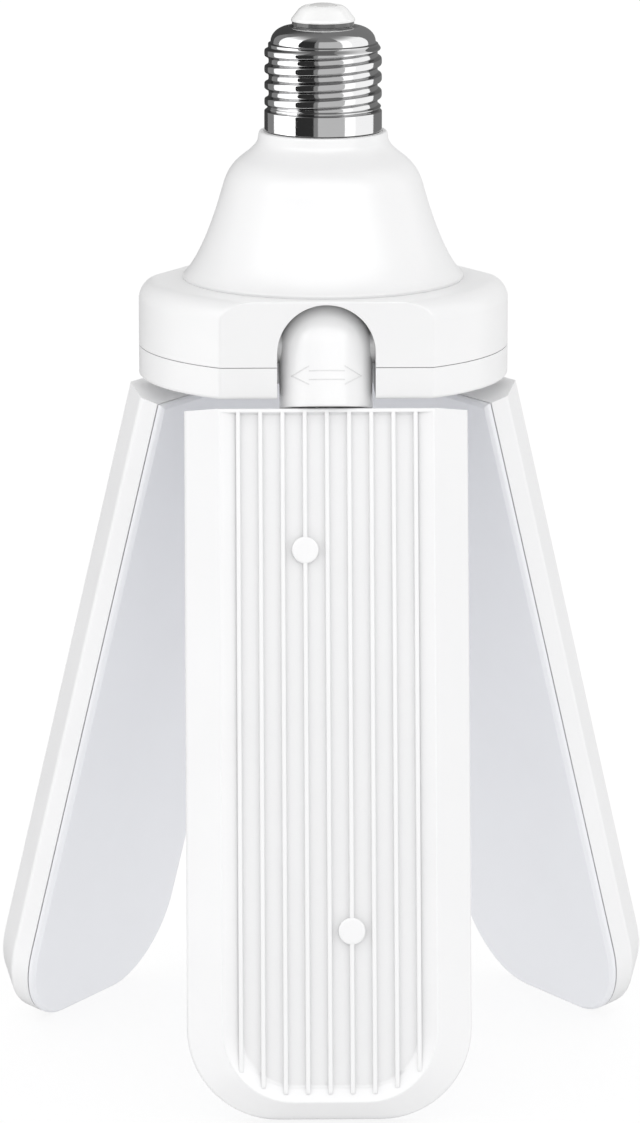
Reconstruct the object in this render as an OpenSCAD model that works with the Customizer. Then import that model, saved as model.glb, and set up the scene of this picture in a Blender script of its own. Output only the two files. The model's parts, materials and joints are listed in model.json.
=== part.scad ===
// Folding three-panel lamp with a screw cap, drawn cap up with its panels hanging and splayed.
// Origin on the axis at the lower rim of the metal cap, +Z toward the contact tip,
// first hinge toward -Y, the other two at 120 degree steps. Millimetres.

/* [Cap] */
// Radius of the plain skirt of the metal cap
cap_r = 13.1; // [13.0:0.05:13.2]
// Height of the plain skirt
skirt_h = 4.4; // [4.0:0.1:4.8]
// Distance between the crests of the round thread
thread_pitch = 3.629; // [3.629]
// Half the depth of the round thread
thread_e = 0.48; // [0.4:0.02:0.5]
// Height of the flat top of the metal shell
shell_top = 24.2; // [23.8:0.1:24.6]
// Height of the contact tip
tip_z = 28.4; // [28.2:0.1:28.6]

/* [Neck] */
// Radius of the collar under the cap
collar_r = 14.3; // [14.1:0.1:14.6]
// Height of the bell from cap to hub
neck_h = 32.9; // [32.4:0.1:33.4]
// Radius of the rounded lip at the foot of the bell
lip_r = 31.1; // [30.6:0.1:31.4]
// Wall of the bell
neck_wall = 2; // [1.8:0.1:2.2]

/* [Hub] */
// Radius of the round hub
hub_r = 41.4; // [40.8:0.1:42]
// Distance of the three flats from the axis
facet_r = 34.2; // [34.0:0.1:34.3]
// Depth of the upper hub housing
hub_upper_h = 14.7; // [14.5:0.1:14.9]
// Depth of the lower hub housing
hub_lower_h = 7; // [6.8:0.1:7.1]
// Radius of the rounded top edge
hub_round = 4.3; // [3.8:0.1:4.6]
// Wall of the hub housings
hub_wall = 2.2; // [2.0:0.1:2.4]

/* [Hinges] */
// Lean of each panel away from the axis as drawn
splay = 14.75; // [14:0.25:15.5]
// Distance of the fold axis from the lamp axis
pivot_r = 25.2; // [25.0:0.1:25.4]
// Height of the fold axis
pivot_z = -44.6; // [-44.8:0.1:-44.4]
// Radius of the bullet shaped knuckle
knuckle_r = 10.25; // [10.15:0.05:10.3]
// Half width of the arched slot
slot_r = 10.8; // [10.75:0.05:10.9]
// Distance from the fold axis to the top of the panel
panel_drop = 14; // [14:0.05:14.2]
// Gap between knuckle and panel
swivel_gap = 0.35; // [0.3:0.05:0.45]
// Radius of the hollow trunnions
trunnion_r = 3.4; // [3.3:0.05:3.5]
// Radius of the hollow swivel stem
stem_r = 3.5; // [3.4:0.05:3.55]

/* [Panels] */
// Half width of a panel
panel_w = 31.2; // [30.8:0.1:31.4]
// Length of a panel
panel_l = 155.4; // [150:0.2:157]
// Height of the straight side wall
wall_h = 4.4; // [4.2:0.1:4.6]
// Height of the back crest above the joint with the diffuser
crest_h = 11.75; // [11.5:0.05:12]
// Radius of the lower corners
corner_r = 20; // [18:0.5:21]
// Half width of the flat back inside the bevel
crest_w = 23.5; // [23:0.1:24]
// Depth of the ribbed recess
recess_d = 1.4; // [1.2:0.1:1.6]
// Number of ribs on the back
ribs = 9; // [9]
// Distance between ribs
rib_pitch = 4.86; // [4.8:0.02:4.9]
// Width of a rib
rib_w = 0.95; // [0.8:0.05:1.1]
// Radius of the round pads on two ribs
pad_r = 2.95; // [2.6:0.05:3.2]
// Wall of the panel shell
shell_wall = 1.8; // [1.6:0.1:2]

/* [Hidden] */
$fn = 64;

root_r = cap_r-2*thread_e;
// Height of the lowest thread crest
first_crest = skirt_h+2.1;
hub_top = -neck_h;
seam_z = hub_top - hub_upper_h;
hub_bot = seam_z - hub_lower_h;
arch_z = pivot_z + 0.1;
// Distance of the swivel axis from the plane between panel shell and diffuser
stem_n = 4;
knuckle_b = panel_drop - swivel_gap;
crest_l = panel_l - 4;
crest_cr = 15.6;
floor_n = crest_h - recess_d;
cavity_n = floor_n - 1.6;
board_n = 3;

function bz(a, b, c, d, t) = a*pow(1-t,3) + b*3*t*pow(1-t,2) + c*3*t*t*(1-t) + d*pow(t,3);

// A point of the bell, heights drawn for a 32.9 mm bell and scaled to neck_h
function np(r, z) = [r, z*neck_h/32.9];

module ring(ro, ri, h) { difference() { cylinder(r = ro, h = h); translate([0,0,-1]) cylinder(r = ri, h = h+2); } }
// Bar between two points with round joints
module bar(a, b, r) {
  v = b - a; l = norm(v);
  translate(a) rotate([0, acos(v[2]/l), atan2(v[1], v[0])]) cylinder(r = r, h = l, $fn = 20);
}
module lead(p, r) {
  for (i = [0:len(p)-2]) bar(p[i], p[i+1], r);
  if (len(p) > 2) for (i = [1:len(p)-2]) translate(p[i]) sphere(r = r+0.06, $fn = 20);
}
module thirds() { for (k = [0:2]) rotate([0,0,120*k]) children(); }
// Between the slots
module wedges(s, z) { for (k = [0:2]) rotate([0,0,120*k-30]) translate([s,0,z]) children(); }
module arm_place(k) { rotate([0,0,120*(k-1)]) translate([0,-pivot_r,pivot_z]) rotate([-splay,0,0]) children(); }
module panel_place(k) { arm_place(k) translate([0,stem_n,-panel_drop]) children(); }
// Plate of a panel outline from height n over a depth d, outward
module plate(n, d) { translate([0,-n,0]) rotate([90,0,0]) linear_extrude(height = d) children(); }

/* ---- cap ---- */
module cap_shell() color([0.80,0.80,0.79]) rotate_extrude() difference() {
  union() {
    square([cap_r,skirt_h]);
    square([root_r,shell_top-4.3]);
    for (i = [0:3]) translate([cap_r-0.02-1.05,first_crest+thread_pitch*i]) circle(r = 1.05);
    translate([0,shell_top-6]) square([11.7,1.7]);
    translate([0,shell_top-4.3]) square([7.4,4.3]);
    intersection() { translate([7.4,shell_top-4.3]) circle(r = 4.3); translate([7.3,shell_top-4.4]) square([5,5]); }
  }
  translate([-1,-1]) square([cap_r-0.35+1,skirt_h+0.6]);
  translate([-1,-1]) square([cap_r-1.42+1,shell_top-5.2]);
  translate([-1,shell_top-6.3]) square([12.3,2]);
  translate([-1,shell_top-4.4]) square([8.4,4]);
  intersection() { translate([7.4,shell_top-4.3]) circle(r = 3.9); translate([7.3,shell_top-4.4]) square([5,5]); }
  translate([-1,-1]) square([7.95,60]);
}
module cap_insulator() color([0.96,0.96,0.96]) difference() {
  rotate_extrude() polygon([[0,shell_top-2.4],[7.2,shell_top-2.4],[7.2,shell_top-0.42],[6.93,shell_top-0.42],[6.93,shell_top],
    [7.15,shell_top],[7.15,shell_top+0.25],[5.15,tip_z-0.9],[4.85,tip_z-0.6],[4.3,tip_z-0.45],[0,tip_z-0.45]]);
  translate([0,0,shell_top-5]) cylinder(r = 1.55, h = 10);
  translate([0,0,tip_z-1.5]) cylinder(r = 3.0, h = 3);
}
module centre_contact() color([0.78,0.77,0.74]) {
  rotate_extrude() polygon([[0,tip_z-1.5],[2.95,tip_z-1.5],[2.95,tip_z-0.35],[2.5,tip_z-0.1],[1.8,tip_z],[0,tip_z]]);
  translate([0,0,shell_top-3]) cylinder(r = 1.5, h = tip_z-1.4-shell_top+3);
}

/* ---- neck ---- */
neck_outer = concat(
  [[0,0],[collar_r-0.25,0],[collar_r,-0.25],[collar_r+0.3,-1.9]],
  [for (i = [1:4]) bz([collar_r+0.3,-1.9], np(collar_r+0.6,-3.3), np(16.9,-4.7), np(18.4,-5.9), i/4)],
  [for (i = [1:6]) bz(np(18.4,-5.9), np(20.3,-7.4), np(21.7,-9.4), np(22.5,-12.6), i/6)],
  [for (i = [1:10]) bz(np(22.5,-12.6), np(24.2,-18.8), np(27.4,-28.2), np(lip_r,-32.0), i/10)],
  [np(lip_r+0.05,-32.25), np(lip_r-0.25,-32.6), np(lip_r-0.8,-32.8), [lip_r-0.9,-neck_h], [0,-neck_h]]);
neck_inner = concat(
  [[0,-3.6],[9.8,-3.6]],
  [for (i = [0:6]) bz(np(18.4,-5.9), np(20.3,-7.4), np(21.7,-9.4), np(22.5,-12.6), i/6) - [1.3+0.7*i/6, 1.7-1.2*i/6]],
  [for (i = [1:10]) bz(np(22.5,-12.6), np(24.2,-18.8), np(27.4,-28.2), np(lip_r,-32.0), i/10) - [neck_wall, 0.5]],
  [[lip_r-neck_wall,-neck_h-1],[0,-neck_h-1]]);
module neck_housing() color([0.95,0.95,0.95]) difference() {
  union() {
    difference() {
      rotate_extrude() polygon(neck_outer);
      difference() {
        rotate_extrude() polygon(neck_inner);
        wedges(20,-neck_h-2) cylinder(r = 3, h = 16);
        wedges(20,-neck_h-2) translate([0,-0.8,0]) cube([12,1.6,14]);
      }
    }
    cylinder(r = cap_r-0.4, h = skirt_h-0.55);
    cylinder(r = cap_r-1.47, h = 15);
  }
  translate([0,0,-8]) cylinder(r = 9.8, h = 30);
  wedges(20,-neck_h-1) cylinder(r = 1.5, h = 10.5);
}

/* ---- hub ---- */
module facet_trim(r) { thirds() translate([-60,-r-60,-80]) cube([120,60,80]); }
module channel(w, back, z0) {
  translate([-w,-60,z0]) cube([2*w,60-back,arch_z-z0]);
  translate([0,-back,arch_z]) rotate([90,0,0]) cylinder(r = w, h = 60-back);
}
module trunnion_seat() {
  for (s = [-1,1]) translate([s > 0 ? slot_r-0.9 : -slot_r-2.6,-pivot_r,pivot_z]) rotate([0,90,0]) cylinder(r = trunnion_r+0.05, h = 3.5);
}
module hub_upper() color([0.95,0.95,0.95]) difference() {
  union() {
    difference() {
      rotate_extrude() union() {
        translate([0,seam_z]) square([hub_r-hub_round,hub_upper_h]);
        translate([0,seam_z]) square([hub_r,hub_upper_h-hub_round]);
        translate([hub_r-hub_round,hub_top-hub_round]) circle(r = hub_round);
      }
      facet_trim(facet_r);
      difference() {
        translate([0,0,seam_z-1]) cylinder(r = hub_r-hub_wall, h = hub_upper_h-hub_round+1);
        facet_trim(facet_r-hub_wall);
        thirds() channel(slot_r+2.2, 12, -70);
        wedges(27,-70) cylinder(r = 3.2, h = 40);
      }
      difference() {
        translate([0,0,seam_z]) cylinder(r = hub_r-hub_round-1, h = hub_upper_h-2);
        facet_trim(facet_r-hub_wall);
        thirds() channel(slot_r+2.2, 12, -70);
        wedges(27,-70) cylinder(r = 3.2, h = 40);
      }
    }
    for (k = [0:2]) rotate([0,0,120*k+30]) translate([13,0,hub_top-0.5]) cylinder(r = 2.2, h = 4.2);
  }
  thirds() channel(slot_r, pivot_r-slot_r, -70);
  thirds() { trunnion_seat();
    for (s = [-1,1]) translate([s > 0 ? slot_r-0.2 : -slot_r-2.6,-pivot_r-trunnion_r-0.05,-60]) cube([2.8,2*trunnion_r+0.1,60+pivot_z]); }
  translate([0,0,-40]) cylinder(r = 6, h = 10);
  wedges(27,-60) cylinder(r = 1.5, h = 23);
  wedges(20,-40) cylinder(r = 1.6, h = 10);
  for (k = [0:2]) rotate([0,0,120*k+30]) translate([13,0,hub_top-0.2]) cylinder(r = 1.1, h = 5);
}
module hub_lower() color([0.95,0.95,0.95]) difference() {
  rotate_extrude() polygon([[0,hub_bot],[hub_r-0.5,hub_bot],[hub_r,hub_bot+0.5],[hub_r,seam_z],[0,seam_z]]);
  facet_trim(facet_r);
  difference() {
    translate([0,0,hub_bot+2]) cylinder(r = hub_r-hub_wall, h = 20);
    facet_trim(facet_r-hub_wall);
    thirds() channel(slot_r+2.2, 12, -70);
    wedges(27,-70) cylinder(r = 4.6, h = 40);
  }
  thirds() channel(slot_r, pivot_r-slot_r, -70);
  thirds() trunnion_seat();
  wedges(27,-70) cylinder(r = 1.7, h = 40);
  wedges(27,hub_bot-1) cylinder(r = 3.3, h = 4);
}
module hub_screws() color([0.72,0.72,0.72]) wedges(27,0) difference() {
  union() {
    translate([0,0,hub_bot+0.9]) cylinder(r = 2.9, h = 2.1);
    translate([0,0,hub_bot+2.9]) cylinder(r = 1.45, h = 12);
  }
  for (a = [0,90]) rotate([0,0,a]) translate([-1.5,-0.25,hub_bot+0.8]) cube([3,0.5,1]);
}
module neck_screws() color([0.72,0.72,0.72]) wedges(20,0) {
  translate([0,0,hub_top-2.05-1.8]) cylinder(r = 2.6, h = 1.8);
  translate([0,0,hub_top-2.1]) cylinder(r = 1.45, h = 10);
}

/* ---- driver ---- */
board_z = hub_top + 3.7;
module driver_board() color([0.12,0.38,0.24]) difference() {
  translate([0,0,board_z]) cylinder(r = 24, h = 1.6);
  wedges(20,-60) cylinder(r = 3.6, h = 60);
  wedges(20,-60) translate([0,-1.4,0]) cube([12,2.8,60]);
  for (k = [0:2]) rotate([0,0,120*k+30]) translate([13,0,-60]) cylinder(r = 1.3, h = 60);
}
module driver_screws() color([0.72,0.72,0.72]) for (k = [0:2]) rotate([0,0,120*k+30]) {
  translate([13,0,board_z+1.6]) cylinder(r = 2, h = 1.3);
  translate([13,0,board_z-3.4]) cylinder(r = 1.05, h = 5.1);
}
module driver_capacitor() color([0.12,0.13,0.16]) translate([-9,-2,board_z+1.6]) difference() {
  cylinder(r = 5, h = 16);
  translate([0,0,14]) ring(6, 4.6, 0.8);
}
module driver_transformer() color([0.85,0.72,0.25]) translate([2.6,-8.5,board_z+1.6]) {
  cube([11,11,3]);
  translate([0,0,9]) cube([11,11,3]);
  translate([1,1.2,3]) cube([9,8.6,6.2]);
}
module driver_components() color([0.25,0.26,0.3]) translate([0,0,board_z+1.6]) {
  translate([-10,-17,0]) cube([7,5,3.2]);
  translate([5,11,0]) cube([8,5,7]);
  translate([-17,3,0]) cylinder(r = 2.8, h = 2.2);
  translate([-8,12,0]) cube([3,7,2]);
}
module cap_leads() color([0.75,0.15,0.12]) {
  lead([[1,5,board_z+1.6],[1,5,-8],[0,0,2],[0,0,shell_top-3]], 0.75);
  lead([[-4,-6,board_z+1.6],[-4,-6,-8],[-7.4,-2,2],[-7.6,-2,15.8],[-10.3,-2.6,16.9]], 0.75);
}
module hub_leads() color([0.9,0.9,0.88]) thirds()
  lead([[slot_r+2.85,-pivot_r,pivot_z],[17,-pivot_r,pivot_z],[17,-11,pivot_z],[3.4,-2,pivot_z+3],[3.4,-2,board_z]], 0.9);

/* ---- knuckles ---- */
module bullet(r, b) { sphere(r = r); translate([0,0,-b]) cylinder(r = r, h = b); }
module arrow_2d() {
  for (z = [-0.95,0.95]) translate([-3.9,z-0.12]) square([7.8,0.24]);
  for (s = [0,180]) rotate(s) polygon([[7.8,0],[3.9,2.1],[3.9,1.8],[7.2,0],[3.9,-1.8],[3.9,-2.1]]);
}
module knuckle(k) arm_place(k) color([0.93,0.93,0.93]) difference() {
  union() {
    difference() { bullet(knuckle_r, knuckle_b); bullet(knuckle_r-2.05, knuckle_b-2.5); }
    for (s = [0,180]) rotate([0,0,s]) translate([7.8,0,0]) rotate([0,90,0]) cylinder(r = trunnion_r, h = slot_r+2.3-7.8);
    for (s = [-1,1]) translate([s*5,0,3.4]) rotate([-90,0,0]) cylinder(r = 2.3, h = 4);
  }
  translate([-20,4,-20]) cube([40,20,40]);
  translate([-20,0,0]) rotate([0,90,0]) cylinder(r = 2.1, h = 40);
  translate([0,0,-20]) cylinder(r = stem_r+0.05, h = 18);
  for (s = [-1,1]) translate([s*5,1,3.4]) rotate([-90,0,0]) cylinder(r = 1.0, h = 4);
  difference() {
    translate([0,-5,-6.9]) rotate([90,0,0]) linear_extrude(height = 8) arrow_2d();
    translate([0,0,-14]) cylinder(r = knuckle_r-0.22, h = 14);
  }
}
module knuckle_cover(k) arm_place(k) color([0.93,0.93,0.93]) difference() {
  intersection() {
    union() {
      difference() { bullet(knuckle_r, knuckle_b); bullet(knuckle_r-2.05, knuckle_b-2.5); }
      for (s = [-1,1]) translate([s*5,4,3.4]) rotate([-90,0,0]) cylinder(r = 2.3, h = 1.6);
    }
    translate([-20,4.02,-20]) cube([40,20,40]);
  }
  for (s = [-1,1]) translate([s*5,3,3.4]) rotate([-90,0,0]) cylinder(r = 1.1, h = 4);
  for (s = [-1,1]) translate([s*5,5.4,3.4]) rotate([-90,0,0]) cylinder(r = 1.85, h = 6);
}
module knuckle_screws(k) arm_place(k) color([0.72,0.72,0.72]) for (s = [-1,1]) translate([s*5,0,3.4]) rotate([-90,0,0]) {
  translate([0,0,1.5]) cylinder(r = 0.95, h = 4);
  translate([0,0,5.4]) cylinder(r = 1.7, h = 1.1);
}
module swivel_washer(k) arm_place(k) color([0.7,0.7,0.72]) translate([0,0,-knuckle_b+2.5]) ring(5.6, stem_r+0.35, 0.6);
module knuckle_leads(k) arm_place(k) color([0.9,0.9,0.88])
  lead([[slot_r+2.8,0,0],[2.2,0,0],[0,0,-2.2],[0,0,-7.4]], 0.9);

/* ---- panels ---- */
module outline(w, l, c, top = 0) polygon(concat([[-w,-top],[w,-top]],
  [for (i = [0:12]) [w-c+c*cos(7.5*i),-l+c-c*sin(7.5*i)]],
  [for (i = [12:-1:0]) [-w+c-c*cos(7.5*i),-l+c-c*sin(7.5*i)]]));
module panel_back(k) panel_place(k) color([0.95,0.95,0.95]) difference() {
  union() {
    difference() {
      hull() {
        plate(0, wall_h) outline(panel_w, panel_l, corner_r);
        plate(crest_h-0.02, 0.02) outline(crest_w, crest_l, crest_cr);
      }
      hull() {
        plate(floor_n, 0.02) outline(crest_w-3.4, crest_l-3, crest_cr-3, 0.9);
        plate(crest_h, 0.02) outline(crest_w-0.15, crest_l-0.15, crest_cr-0.15, 0.8);
      }
    }
    intersection() {
      plate(floor_n-0.5, recess_d+0.5) outline(crest_w, crest_l-1.5, crest_cr, 0.3);
      union() {
        for (i = [0:ribs-1]) translate([(i-(ribs-1)/2)*rib_pitch-rib_w/2,-crest_h,-panel_l]) cube([rib_w,recess_d+0.4,panel_l]);
        for (s = [[-rib_pitch,31],[rib_pitch,114.2]]) translate([s[0],-floor_n+0.4,-s[1]]) rotate([90,0,0]) cylinder(r = pad_r, h = recess_d+0.4);
      }
    }
  }
  difference() {
    hull() {
      plate(-1, wall_h+1) outline(panel_w-shell_wall, panel_l-shell_wall, corner_r-shell_wall, 2.4);
      plate(cavity_n-0.02, 0.02) outline(crest_w-1, crest_l-3, crest_cr-2, 2.4);
    }
    for (s = [[-rib_pitch,31],[rib_pitch,114.2],[-22,76],[22,76]]) translate([s[0],-board_n,-s[1]]) rotate([90,0,0]) cylinder(r = 2.6, h = 9);
  }
  for (s = [[-rib_pitch,31],[rib_pitch,114.2]]) translate([s[0],0,-s[1]]) rotate([90,0,0]) cylinder(r = 1.25, h = 8.4);
  translate([0,-stem_n,-3]) cylinder(r = stem_r+0.02, h = 4);
}
module diffuser(k) panel_place(k) color([0.86,0.86,0.91]) difference() {
  union() {
    plate(0, 1.2) outline(panel_w-shell_wall-0.15, panel_l-shell_wall-0.15, corner_r-shell_wall-0.15, 2.6);
    hull() {
      plate(-0.02, 0.02) outline(panel_w-0.1, panel_l-0.1, corner_r-0.1, 0.1);
      plate(-1.1, 0.02) outline(panel_w-0.25, panel_l-0.25, corner_r-0.25, 0.25);
      plate(-1.6, 0.02) outline(panel_w-0.75, panel_l-0.75, corner_r-0.75, 0.75);
      plate(-1.8, 0.02) outline(panel_w-1.5, panel_l-1.5, corner_r-1.5, 1.5);
    }
  }
  plate(-0.6, 3) outline(panel_w-shell_wall-1.4, panel_l-shell_wall-1.4, corner_r-shell_wall-1.4, 4);
  translate([0,-stem_n,-3.2]) cylinder(r = stem_r+0.3, h = 4);
  translate([-7.4,-9,-5.2]) cube([14.8,9,5]);
}
module led_board(k) panel_place(k) color([0.93,0.93,0.91]) difference() {
  plate(board_n-1, 1) outline(27, panel_l-5.5, 17, 8);
  for (s = [[-rib_pitch,31],[rib_pitch,114.2]]) translate([s[0],5,-s[1]]) rotate([90,0,0]) cylinder(r = 1.4, h = 12);
}
module led_chips(k) panel_place(k) color([0.95,0.85,0.35])
  for (x = [-21,-9,9,21]) for (j = [0:11]) translate([x-1.4,-board_n+1,-18-10.6*j-3.5]) cube([2.8,0.7,3.5]);
module board_screws(k) panel_place(k) color([0.72,0.72,0.72])
  for (s = [[-rib_pitch,31],[rib_pitch,114.2]]) translate([s[0],0,-s[1]]) rotate([90,0,0]) {
    translate([0,0,board_n-2.3]) cylinder(r = 2.2, h = 1.3);
    translate([0,0,board_n-1.1]) cylinder(r = 1.2, h = 5.5);
  }
module swivel_stem(k) arm_place(k) color([0.74,0.74,0.73]) difference() {
  union() {
    translate([0,0,-panel_drop-4.8]) cylinder(r = stem_r, h = 4.8+panel_drop-7.9);
    translate([-7,-3.6,-panel_drop-4.6]) cube([14,7.2,2.1]);
  }
  translate([0,0,-panel_drop-6]) cylinder(r = 2.4, h = 20);
}
module stem_nut(k) arm_place(k) color([0.74,0.74,0.73]) difference() {
  translate([0,0,-knuckle_b+3.15]) cylinder(r = 5.6, h = 2.1);
  cylinder(r = stem_r+0.02, h = 60, center = true);
  for (s = [-1,1]) translate([s > 0 ? 4.8 : -7.8,-8,-12]) cube([3,16,6]);
}
module panel_leads(k) arm_place(k) color([0.9,0.9,0.88])
  lead([[0,0,-7.45],[0,0,-panel_drop-6.2],[0,-0.6,-panel_drop-8.6],[0,-0.6,-panel_drop-14],[0,stem_n-board_n-0.95,-panel_drop-17.5]], 0.9);

cap_shell();
cap_insulator();
centre_contact();
neck_housing();
hub_upper();
hub_lower();
driver_board();
driver_capacitor();
driver_transformer();
driver_components();
driver_screws();
neck_screws();
hub_screws();
cap_leads();
hub_leads();
knuckle(1);  // knuckle_1
knuckle(2);  // knuckle_2
knuckle(3);  // knuckle_3
knuckle_cover(1);  // knuckle_cover_1
knuckle_cover(2);  // knuckle_cover_2
knuckle_cover(3);  // knuckle_cover_3
knuckle_screws(1);  // knuckle_screws_1
knuckle_screws(2);  // knuckle_screws_2
knuckle_screws(3);  // knuckle_screws_3
swivel_washer(1);  // swivel_washer_1
swivel_washer(2);  // swivel_washer_2
swivel_washer(3);  // swivel_washer_3
knuckle_leads(1);  // knuckle_leads_1
knuckle_leads(2);  // knuckle_leads_2
knuckle_leads(3);  // knuckle_leads_3
panel_back(1);  // panel_back_1
panel_back(2);  // panel_back_2
panel_back(3);  // panel_back_3
diffuser(1);  // diffuser_1
diffuser(2);  // diffuser_2
diffuser(3);  // diffuser_3
led_board(1);  // led_board_1
led_board(2);  // led_board_2
led_board(3);  // led_board_3
led_chips(1);  // led_chips_1
led_chips(2);  // led_chips_2
led_chips(3);  // led_chips_3
board_screws(1);  // board_screws_1
board_screws(2);  // board_screws_2
board_screws(3);  // board_screws_3
swivel_stem(1);  // swivel_stem_1
swivel_stem(2);  // swivel_stem_2
swivel_stem(3);  // swivel_stem_3
stem_nut(1);  // stem_nut_1
stem_nut(2);  // stem_nut_2
stem_nut(3);  // stem_nut_3
panel_leads(1);  // panel_leads_1
panel_leads(2);  // panel_leads_2
panel_leads(3);  // panel_leads_3
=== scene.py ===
import json
import math

import bmesh
import bpy
import numpy as np
from mathutils import Matrix, Vector

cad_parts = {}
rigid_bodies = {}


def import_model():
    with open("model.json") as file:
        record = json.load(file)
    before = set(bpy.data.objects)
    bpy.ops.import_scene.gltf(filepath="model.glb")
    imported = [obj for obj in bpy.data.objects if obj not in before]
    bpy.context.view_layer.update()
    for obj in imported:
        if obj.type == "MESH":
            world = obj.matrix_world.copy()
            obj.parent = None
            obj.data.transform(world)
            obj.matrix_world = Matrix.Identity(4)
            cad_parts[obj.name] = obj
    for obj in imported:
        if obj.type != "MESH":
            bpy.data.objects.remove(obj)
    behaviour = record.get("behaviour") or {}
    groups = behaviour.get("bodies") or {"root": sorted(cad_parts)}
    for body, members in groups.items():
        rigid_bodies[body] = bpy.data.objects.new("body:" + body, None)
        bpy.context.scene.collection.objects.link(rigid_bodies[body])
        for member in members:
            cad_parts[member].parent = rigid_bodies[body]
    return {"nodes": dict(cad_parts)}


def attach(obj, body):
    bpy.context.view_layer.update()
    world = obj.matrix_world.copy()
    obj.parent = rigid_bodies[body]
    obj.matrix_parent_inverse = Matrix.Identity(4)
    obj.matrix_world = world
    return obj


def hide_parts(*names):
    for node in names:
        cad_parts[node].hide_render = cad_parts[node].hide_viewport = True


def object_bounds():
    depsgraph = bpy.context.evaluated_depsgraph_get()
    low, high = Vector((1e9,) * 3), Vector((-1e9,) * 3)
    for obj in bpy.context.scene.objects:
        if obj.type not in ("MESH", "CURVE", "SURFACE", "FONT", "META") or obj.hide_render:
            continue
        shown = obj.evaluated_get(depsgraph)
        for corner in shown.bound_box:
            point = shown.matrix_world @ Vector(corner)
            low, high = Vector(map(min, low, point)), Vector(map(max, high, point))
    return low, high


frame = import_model()
nodes = frame["nodes"]


def plain_box(b):
    return [[float(x) for x in corner] for corner in b]


cad_box = plain_box(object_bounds())
MM = 0.001

# ------------------------------------------------------------------ dimensions, mm
SPLAY, PIVOT_R, PIVOT_Z, DROP, STEM_N = 14.75, 25.2, -44.6, 14.0, 4.0
HUB_TOP, SEAM, HUB_BOT = -32.9, -47.6, -54.6
HUB_R, FACET = 41.4, 34.2
ARCH_Z, SLOT_R = -44.5, 10.8
KNUCKLE_R, KNUCKLE_B = 10.25, 13.65
SLIT = 0.055
PITCH = 3.629


# ------------------------------------------------------------------ places
def shift(x, y, z):
    m = np.eye(4)
    m[:3, 3] = (x, y, z)
    return m


def turn(axis, degrees):
    return np.array(Matrix.Rotation(math.radians(degrees), 4, axis))


def arm_place(k):
    return turn("Z", 120 * (k - 1)) @ shift(0, -PIVOT_R, PIVOT_Z) @ turn("X", -SPLAY)


def panel_place(k):
    return arm_place(k) @ shift(0, STEM_N, -DROP)


# ------------------------------------------------------------------ curves and outlines
def soften(points, radius, steps=4):
    """A polyline in any number of dimensions with its inner corners rounded."""
    pts = [np.array(p, float) for p in points]
    radii = radius if isinstance(radius, (list, tuple)) else [radius] * len(pts)
    out = [pts[0]]
    for i in range(1, len(pts) - 1):
        a, b, c = pts[i - 1], pts[i], pts[i + 1]
        r = radii[i]
        if r <= 0:
            out.append(b)
            continue
        da, dc = np.linalg.norm(a - b), np.linalg.norm(c - b)
        p = b + (a - b) * min(r, 0.45 * da) / da
        q = b + (c - b) * min(r, 0.45 * dc) / dc
        for s in range(steps + 1):
            t = s / steps
            out.append((1 - t) ** 2 * p + 2 * t * (1 - t) * b + t * t * q)
    out.append(pts[-1])
    return out


def soften_ring(points, radius, steps=4):
    """As soften, for a closed ring of points."""
    pts = [np.array(p, float) for p in points]
    radii = radius if isinstance(radius, (list, tuple)) else [radius] * len(pts)
    out, n = [], len(pts)
    for i in range(n):
        a, b, c = pts[i - 1], pts[i], pts[(i + 1) % n]
        r = radii[i]
        if r <= 0:
            out.append(b)
            continue
        da, dc = np.linalg.norm(a - b), np.linalg.norm(c - b)
        p = b + (a - b) * min(r, 0.45 * da) / da
        q = b + (c - b) * min(r, 0.45 * dc) / dc
        for s in range(steps + 1):
            t = s / steps
            out.append((1 - t) ** 2 * p + 2 * t * (1 - t) * b + t * t * q)
    return out


def bezier(a, b, c, d, n):
    a, b, c, d = (np.array(p, float) for p in (a, b, c, d))
    return [
        a * (1 - t) ** 3 + b * 3 * t * (1 - t) ** 2 + c * 3 * t * t * (1 - t) + d * t**3
        for t in (i / n for i in range(1, n + 1))
    ]


def arc(cx, cy, r, a0, a1, n):
    return [
        (cx + r * math.cos(math.radians(a0 + (a1 - a0) * i / n)), cy + r * math.sin(math.radians(a0 + (a1 - a0) * i / n)))
        for i in range(n + 1)
    ]


# ------------------------------------------------------------------ mesh building
def build(name, verts, faces, place=None):
    v = np.asarray(verts, float)
    if place is not None:
        v = (np.c_[v, np.ones(len(v))] @ place.T)[:, :3]
    mesh = bpy.data.meshes.new(name)
    mesh.from_pydata((v * MM).tolist(), [], [tuple(int(i) for i in f) for f in faces])
    o = bpy.data.objects.new(name, mesh)
    bpy.context.scene.collection.objects.link(o)
    bm = bmesh.new()
    bm.from_mesh(mesh)
    bmesh.ops.recalc_face_normals(bm, faces=bm.faces)
    if bm.calc_volume(signed=True) < 0:
        bmesh.ops.reverse_faces(bm, faces=bm.faces)
    bm.to_mesh(mesh)
    bm.free()
    return o


def loft(loops, ring=False, caps=True):
    """Verts and faces over loops of equal length. ring joins the last loop to the first."""
    loops = np.asarray(loops, float)
    m, n, _ = loops.shape
    faces = []
    for i in range(m if ring else m - 1):
        k = (i + 1) % m
        for j in range(n):
            l = (j + 1) % n
            faces.append((i * n + j, i * n + l, k * n + l, k * n + j))
    if caps and not ring:
        faces.append(tuple(range(n))[::-1])
        faces.append(tuple((m - 1) * n + j for j in range(n)))
    return loops.reshape(-1, 3), faces


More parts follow.
